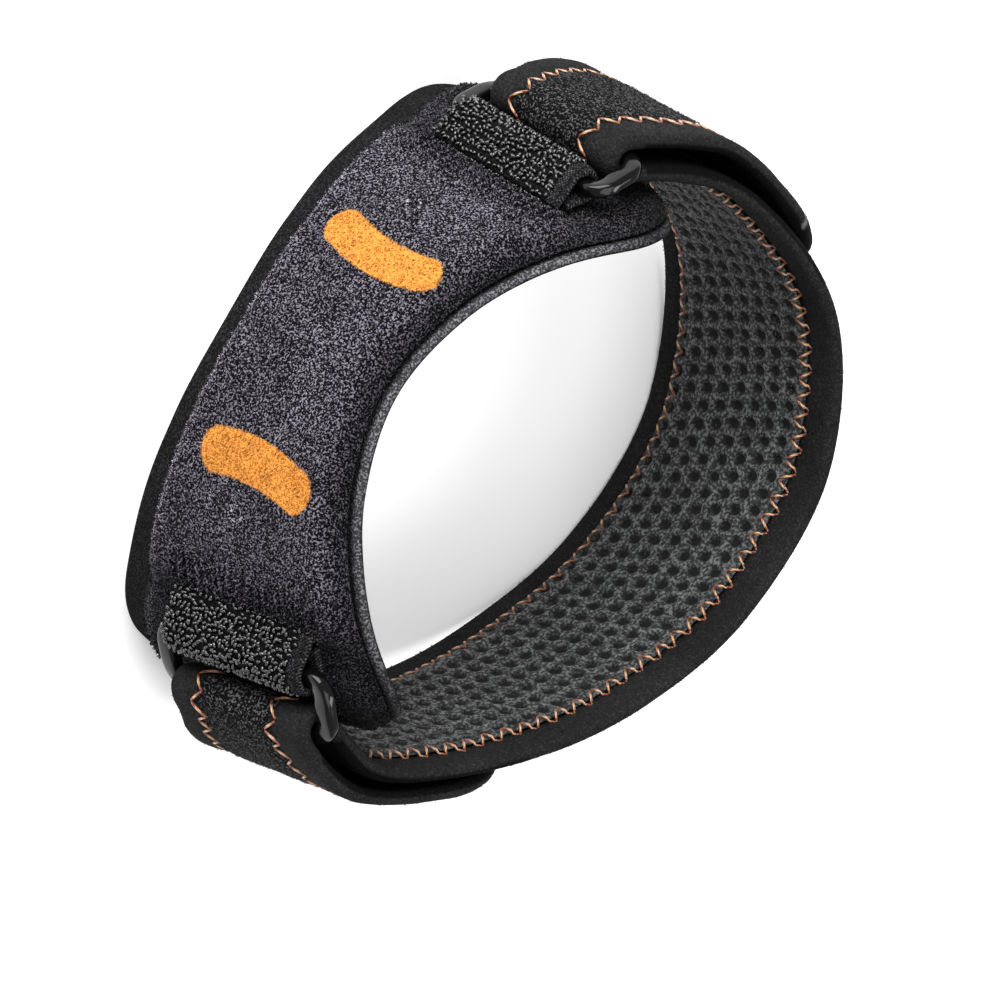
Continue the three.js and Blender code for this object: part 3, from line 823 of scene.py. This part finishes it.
# The strap: from a flap's end round one buckle's bar, round the leg, round the other bar to the other flap.
strap = {
    "thick": 2.5, "fold": 2.9, "flapEnd": {"left": 109, "right": 101}, "corner": 16, "endPatch": 15,
    "lowSeam": 6.5, "highSeam": 7.7, "seamDent": 0.2, "pillow": 0.16, "betweenShade": 0.15, "paleLine": 9,
    "bow": {"s": [57.3, 62, 68, 75, 82, 90, 97, 104, 114, 128, 140, 165],
            "left": [6.25, 6.6, 6.4, 5.8, 4.8, 3.5, 2.7, 2.1, 1.5, 1.05, 0.95, 0.95],
            "right": [6.25, 7.2, 7.8, 5.7, 3.3, 2, 1.5, 1.2, 1, 0.95, 0.95, 0.95]},
    "edge": {"s": [57.3, 62, 67, 76, 92, 116, 135, 170], "low": [10.2, 8, 6.4, 4.7, 2.8, 0.8, 0, 0],
             "high": [42, 43.4, 44.4, 45.6, 47.1, 48.9, 49.5, 49.5]},
    "flap": {"s": [57.3, 62, 69, 75, 82, 90, 97, 118], "left": [3.3, 3.1, 3.2, 3.5, 2.7, 2.1, 1.6, 1.2],
             "right": [3.3, 3.1, 2.3, 1.9, 1.6, 1.3, 1.2, 1.2], "low": [10.2, 8.2, 6, 5.4, 4.9, 4.5, 4.3, 4],
             "high": [42, 43.2, 44.6, 45, 45.5, 45.8, 46, 46.4]},
    "dark": (0.002, 0.002, 0.0021), "light": (0.088, 0.088, 0.09), "calm": (0.0145, 0.0145, 0.0145),
    "rough": 0.92, "shine": 0.06, "scale": 2300, "low": 0.52, "high": 0.65, "nap": 60, "napDark": 0.6, "bump": 0.0003,
}
fuzz = {"count": 40000, "tall": 0.28, "lean": 0.75, "wide": 0.11, "sunk": 0.08, "fall": 0.35, "thinned": 0.75,
        "tones": [0.4, 1.0, 1.8], "shares": [0.5, 0.34, 0.16]}
# pale is the colour of the painted highlight at the top of each stitch
zigzag = {"pitch": 4.1, "swing": 1.45, "thick": 0.24, "lift": 0.3, "sunk": 0.14, "start": 3.0,
          "copper": (0.24, 0.058, 0.015), "pale": (0.95, 0.56, 0.3)}
lining = {"start": 72, "thick": 0.7, "gap": 0.25, "lowBorder": 5.8, "highBorder": 7.4, "holePitch": 3.4,
          "rowPitch": 4.4, "rowShift": 1.4, "holeWide": 1.12, "holeTall": 1.5, "depth": 0.62, "rim": 2.0,
          "rimThick": 0.14, "ridge": 0.1, "margin": 2.0, "dark": (0.013, 0.0135, 0.014),
          "light": (0.112, 0.114, 0.115), "rough": 0.8, "shine": 0.25, "scale": 1700, "low": 0.42, "high": 0.68,
          "nap": 120, "napDark": 0.75}


def layerInner(s):
    left = np.mod(s, girth) > girth / 2
    return np.where(left, along(strap["bow"], reach(s), "left"), along(strap["bow"], reach(s), "right"))


def cornerInset(distance, radius):
    left = np.clip(radius - distance, 0, radius)
    return radius - np.sqrt(radius**2 - left**2)


def flapEdges(at, inset):
    return along(strap["flap"], at, "low") + inset, along(strap["flap"], at, "high") - inset


def strapHalf(side):
    wrap = (lambda s: girth - s) if side == "left" else (lambda s: s)
    flapEnd, edge = strap["flapEnd"][side], strap["edge"]
    at = dense(flapEnd, outerBar["s"] + 1.2, 0.4)
    inset = cornerInset(flapEnd - at, strap["corner"])
    flapN = layerInner(wrap(at)) + strap["thick"] * 1.5 + along(strap["flap"], at, side)
    flapLow, flapHigh = flapEdges(at, inset)
    turnS, turnN = foldRound(outerBar, strap["fold"], -1)
    back = dense(outerBar["s"] + 1.2, girth / 2, 0.4)
    s = np.concatenate([wrap(at), wrap(turnS), wrap(back)])
    n = np.concatenate([flapN, turnN, layerInner(wrap(back)) + strap["thick"] / 2])
    low, high = (np.concatenate([flap, np.full(len(turnS), edge[key][0]), along(edge, back, key)])
                 for flap, key in ((flapLow, "low"), (flapHigh, "high")))
    skin = np.concatenate([np.zeros(len(at) + len(turnS)), np.ones(len(back))])
    return s, n, low, high, skin


def eased(values, span=7):
    # smooths a route a little, its ends kept
    pad = np.concatenate([2 * values[0] - values[span:0:-1], values, 2 * values[-1] - values[-2:-span - 2:-1]])
    kernel = np.hanning(2 * span + 3)[1:-1]
    return np.convolve(pad, kernel / kernel.sum(), "valid")


halves = [strapHalf("right"), [run[::-1][1:] for run in strapHalf("left")]]
strapS, strapN, strapLow, strapHigh, strapSkin = (np.concatenate(runs) for runs in zip(*halves))
strapLine = ribbon(strapS, eased(strapN))
onStrap = lambda values, d: np.interp(d, strapLine["distance"], values)


def seamGap(z, low, high):
    return np.minimum(abs(z - low - strap["lowSeam"]), abs(high - strap["highSeam"] - z))


def sewn(d, z, face, low, high):
    # dented along both seams, a little full between them and at the edges
    gap = seamGap(z, low, high)
    full = strap["pillow"] * ramp(gap, 1.2, 4.2) - strap["seamDent"] * np.exp(-(gap / 1.3) ** 2)
    return (full + 0.1 * wobble(d, z, 21, 9) + 0.05 * wobble(d, z, 22, 2.5)) * (abs(face) > 0.99)


def betweenLayers(d, face):
    # the flaps' inner faces and what lies under them, in the dark; the route turns back, so both are above 0
    s, onFlap = onStrap(strapS, d), onStrap(strapSkin, d) < 0.5
    covered = reach(s) < np.where(s > girth / 2, strap["flapEnd"]["left"], strap["flapEnd"]["right"]) - 3
    return (face > 0) & (onFlap | covered) & (reach(s) > 60)


def strapTone(d, z, face, low, high):
    # a pale line where the left flap's end patch begins and along the right flap's cut end
    fromLeft = strapLine["length"] - d
    line = (abs(fromLeft - strap["endPatch"]) < 0.6) | (d < 0.5)
    tone = 1 - 0.3 * np.exp(-seamGap(z, low, high) ** 2) - 0.45 * (fromLeft < strap["endPatch"])
    # painted shade on the faces that lie between the layers
    return np.where(betweenLayers(d, face), strap["betweenShade"], tone) + strap["paleLine"] * line * (face < 0.5)


def strapCalm(d, z, face, low, high):
    # smooth cloth outside the seams and on the end patch, flecked cloth between the seams
    outside = np.maximum(low + strap["lowSeam"] - z, z - high + strap["highSeam"])
    patch = strapLine["length"] - d < strap["endPatch"]
    return np.maximum(ramp(outside, -0.6, 0.6) * 0.85, patch * 0.9)


def liningDepth(d, z):
    # how far in from the lining's nearer border a place lies
    return np.minimum(z - onStrap(strapLow, d) - lining["lowBorder"],
                      onStrap(strapHigh, d) - lining["highBorder"] - z)


def underLining(d, z, face):
    # where the lining covers the strap's skin face
    onSkin = (onStrap(strapSkin, d) > 0.5) & (reach(onStrap(strapS, d)) > lining["start"])
    return (face < 0) & onSkin & (liningDepth(d, z) > 0)


def liningRise(depth):
    # how high the lining's face stands off the strap, at a depth in from its border
    share = np.clip(depth / lining["rim"], 0, 1)
    return lining["gap"] + lining["rimThick"] + (lining["thick"] - lining["rimThick"]) * (1 - (1 - share) ** 2)


strapPiece = layBand("strapBand", strapLine, strap["thick"], strapLow, strapHigh, across=46, step=1.1, bow=1.1,
                     relief=sewn, ends=0.9, shade=strapTone, calm=strapCalm)
strapCloth = fleckedCloth("strapCloth", strap)[0]
settlePiece(strapPiece, strapCloth, "strap_cloth", "strap")


def unfolded(flat):
    # the distance, height and face of places on the strap's cloth map
    outer = flat[:, 1] > faceShift - 20
    return flat[:, 0], flat[:, 1] - faceShift * outer, np.where(outer, 1.0, -1.0)


def strapFuzz():
    # the loose fibres of the strap's cloth, on both faces but not under the lining
    foot, rise, uv = pickSpots(strapPiece, fuzz["count"], lambda flat: ~underLining(*unfolded(flat)))
    d, z, face = unfolded(uv * 1000)
    calm = strapCalm(d, z, face, onStrap(strapLow, d), onStrap(strapHigh, d))
    keep = rng.uniform(size=len(d)) > fuzz["thinned"] * calm
    piece = fibres("strapFuzz", foot[keep], rise[keep], uv[keep], fuzz)
    light = rng.choice(fuzz["tones"], len(d), p=fuzz["shares"])
    # painted shade on the fibres that lie between the layers
    light = np.where(betweenLayers(d, face), strap["betweenShade"], light)
    for name, values in (("shade", light), ("calm", calm)):
        setLayer(piece, name, np.repeat(values[keep], perFibre))
    return piece


def zigzagSeams():
    # each stitch is a thread that rises from the dented seam, or from the lining, and dips again
    paths, lifts = [], []
    turns = np.arange(zigzag["start"], strapLine["length"] - zigzag["start"], zigzag["pitch"] / 2)
    count, t, middle = len(turns), np.linspace(0, 1, 9), 4
    sway = zigzag["swing"] * np.where(np.arange(count) % 2, 1, -1)
    for edge, inset in ((strapLow, strap["lowSeam"]), (strapHigh, -strap["highSeam"])):
        for face in (-1, 1):
            swing = sway * (1 + 0.08 * rng.normal(size=count))
            d = turns + 0.12 * rng.normal(size=count)
            z = swing + onStrap(edge, d) + inset
            d, z = (ends[:-1, None] + np.diff(ends)[:, None] * t for ends in (d, z))
            ground = np.where(underLining(d, z, face), liningRise(liningDepth(d, z)) - 0.1, -strap["seamDent"])
            height = strap["thick"] / 2 + ground + zigzag["lift"] * np.sqrt(4 * t * (1 - t)) - zigzag["sunk"]
            midD, midZ = d[:, middle], z[:, middle]
            out = onRibbon(strapLine, midD, face * 3.0, midZ) - onRibbon(strapLine, midD, 0.0, midZ)
            shown = ~betweenLayers(midD, face)
            paths.append(onRibbon(strapLine, d, face * height, z)[shown])
            lifts.append(unit(out)[shown])
    return tubes("zigzagSeams", np.concatenate(paths), zigzag["thick"] / 1000, np.concatenate(lifts))


def threadMaterial():
    material, tree, shader = newMaterial("copperThread", zigzag["copper"], 0.34, 0.7)
    uv = addNode(tree, "UVMap", uv_map="cloth").outputs["UV"]
    twist = addNode(tree, "TexWave", Vector=uv, Scale=2.2, Distortion=0.6, Detail=1.0,
                    bands_direction="DIAGONAL").outputs["Fac"]
    crestHighlight = calculate(tree, "PINGPONG", addNode(tree, "SeparateXYZ", Vector=uv).outputs["X"], 0.5)
    # a painted highlight: the thread turns pale towards the top of each stitch
    glow = mapRange(tree, crestHighlight, 0.22, 0.5, 0.0, 0.8, True)
    colour = mixColours(tree, glow, zigzag["copper"], zigzag["pale"])
    strand = mapRange(tree, twist, 0.0, 1.0, 0.35, 1.0)
    feed(tree, [shader.inputs["Base Color"]], [mixColours(tree, 1.0, colour, strand, "MULTIPLY")])
    bumped(tree, shader, twist, 0.6, 0.00008)
    return material


seams, fuzzPiece = zigzagSeams(), strapFuzz()
settlePiece(seams, threadMaterial(), "strap_cloth")
settlePiece(fuzzPiece, strapCloth, "strap_cloth")


# The lining: a knitted mesh with slanting rows of cells on the strap's skin face, pressed flat at its border.
def meshLining():
    s = dense(lining["start"], girth - lining["start"], 0.36)
    half = lining["thick"] / 2
    route = ribbon(s, layerInner(s) - lining["gap"] - half)
    low = (along(strap["edge"], reach(s), "low") + lining["lowBorder"])[:, None]
    high = (along(strap["edge"], reach(s), "high") - lining["highBorder"])[:, None]
    z = low + (high - low) * np.linspace(0, 1, 118)
    sAt, fromMid = np.broadcast_to(s[:, None], z.shape), z - loop["midHeight"]
    cell = np.full(z.shape, 9.0)
    for step in (-1, 0, 1):
        row = np.rint(fromMid / lining["rowPitch"]) + step
        ahead = sAt - lining["rowShift"] * row
        ds = ahead - np.rint(ahead / lining["holePitch"]) * lining["holePitch"]
        dz = fromMid - row * lining["rowPitch"]
        cell = np.minimum(cell, np.hypot(ds / lining["holeWide"], dz / lining["holeTall"]))
    wall = ramp(cell, 0.62, 1.17)
    inside = np.minimum(np.minimum(z - low, high - z), np.minimum(sAt - s[0], s[-1] - sAt))
    solid = ramp(inside, lining["margin"], lining["margin"] - 0.6)
    wall = np.maximum(wall * wall * (3 - 2 * wall), solid)
    ridge = lining["ridge"] * np.clip(1 - abs(cell - 1.5) / 0.5, 0, 1)
    face = half + ridge + lining["depth"] * (wall - 1) + 0.04 * wobble(sAt, z, 31, 0.8)
    face = np.minimum(face, liningRise(inside) - lining["gap"] - half + ridge)
    top, bottom = (onRibbon(route, route["distance"][:, None], off, z) for off in (-face, half))
    closed = lambda upper, under: np.concatenate([upper, under[:, ::-4], upper[:, :1]], 1)
    flat = np.stack([sAt, z], -1) / 1000
    # painted shade in the cells' holes and painted highlights on the ridges round them; darker on the pressed border
    shade = 0.04 + 0.96 * wall + 3.5 * ridge - 0.35 * solid
    return layGrid("meshLining", closed(top, bottom), closed(flat, flat + faceShift / 1000),
                   shade=closed(shade, np.ones(z.shape))), route


liningPiece, liningRoute = meshLining()
settlePiece(liningPiece, fleckedCloth("meshYarn", lining)[0], "mesh", "mesh_lining")
print("lining laid", round(liningRoute["length"], 1))

# The fasteners between the flaps' ends and the strap's outer face.
hook = {"left": (97, 114), "right": (91, 108), "thick": 0.6, "gap": 0.3, "inset": 1.5, "corner": 5,
        "dark": (0.004, 0.004, 0.0042), "light": (0.018, 0.018, 0.019), "rough": 0.6, "shine": 0.2,
        "scale": 1500, "low": 0.45, "high": 0.7}
hookCloth = fleckedCloth("fastenerTape", hook)[0]
for side in hands:
    start, end = hook[side]
    at = dense(start, end, 0.4)
    s = girth - at if side == "left" else at
    route = ribbon(s, layerInner(s) + strap["thick"] + hook["gap"] + hook["thick"] / 2)
    inset = hook["inset"] + cornerInset(end - at, hook["corner"])
    piece = layBand("fastenerTab." + side, route, hook["thick"], *flapEdges(at, inset), across=30, ends=0.3)
    settlePiece(piece, hookCloth, "fastener", "hook_tab_" + side)
print("fasteners laid")

# The floor, the lights and the camera.
stage = {"size": 12, "white": (0.92, 0.92, 0.92), "rough": 0.9, "shine": 0.1, "glow": 0.16, "world": 0.5,
         "lightsAim": (0, 0, 0.03)}
deselect()
bpy.ops.mesh.primitive_plane_add(size=stage["size"])
floor = bpy.context.object
floor.name = "floor"
glow = {"Emission Color": (1, 1, 1, 1), "Emission Strength": stage["glow"]}
dress(floor, newMaterial("floorPaint", stage["white"], stage["rough"], stage["shine"], **glow)[0])

world = bpy.data.worlds.new("studio")
bpy.context.scene.world = world
world.use_nodes = True
sky = world.node_tree.nodes["Background"].inputs
sky["Color"].default_value, sky["Strength"].default_value = (1, 1, 1, 1), stage["world"]

lights = [{"name": "key", "at": (-0.75, -1.1, 0.5), "size": 1.1, "watts": 42},
          {"name": "top", "at": (0.3, 0.1, 1.5), "size": 1.2, "watts": 16},
          {"name": "rear", "at": (-0.1, 0.95, 1.15), "size": 0.45, "watts": 6}]
for light in lights:
    deselect()
    bpy.ops.object.light_add(type="AREA", location=light["at"])
    lamp = bpy.context.object
    lamp.name = light["name"]
    lamp.data.shape = "SQUARE"
    lamp.data.size = light["size"]
    lamp.data.energy = light["watts"]
    lamp.rotation_euler = (Vector(stage["lightsAim"]) - lamp.location).to_track_quat("-Z", "Y").to_euler()

# The photograph's view: where it looks, from which side, how far and how turned.
shot = {"target": (4.70536, -2.31374, 32.60384), "azimuth": 5.131, "elevation": 51.172, "roll": 114.809,
        "distance": 800.436, "pixelsPerMm": 5.81396, "middle": (475.667, 470.882), "pixels": 1000, "sensor": 36}
azimuth, elevation, roll = (math.radians(shot[k]) for k in ("azimuth", "elevation", "roll"))
level = Vector((math.cos(azimuth), math.sin(azimuth), 0))
ahead = Vector((math.sin(azimuth), -math.cos(azimuth), 0))
toward = ahead * math.cos(elevation) + Vector((0, 0, math.sin(elevation)))
upright = toward.cross(level)
imageX = level * math.cos(roll) + upright * math.sin(roll)
imageY = -level * math.sin(roll) + upright * math.cos(roll)
moveX, moveY = ((shot["pixels"] / 2 - middle) / shot["pixelsPerMm"] for middle in shot["middle"])
aim = Vector(shot["target"]) + imageX * moveX - imageY * moveY
deselect()
bpy.ops.object.camera_add(location=(aim + toward * shot["distance"]) / 1000)
camera = bpy.context.object
camera.data.sensor_width = shot["sensor"]
camera.data.lens = shot["sensor"] * shot["pixelsPerMm"] * shot["distance"] / shot["pixels"]
camera.data.clip_start, camera.data.clip_end = 0.05, 50
camera.rotation_euler = Matrix((imageX, imageY, toward)).transposed().to_euler()
bpy.context.scene.camera = camera
bpy.context.scene.view_settings.view_transform = "Standard"
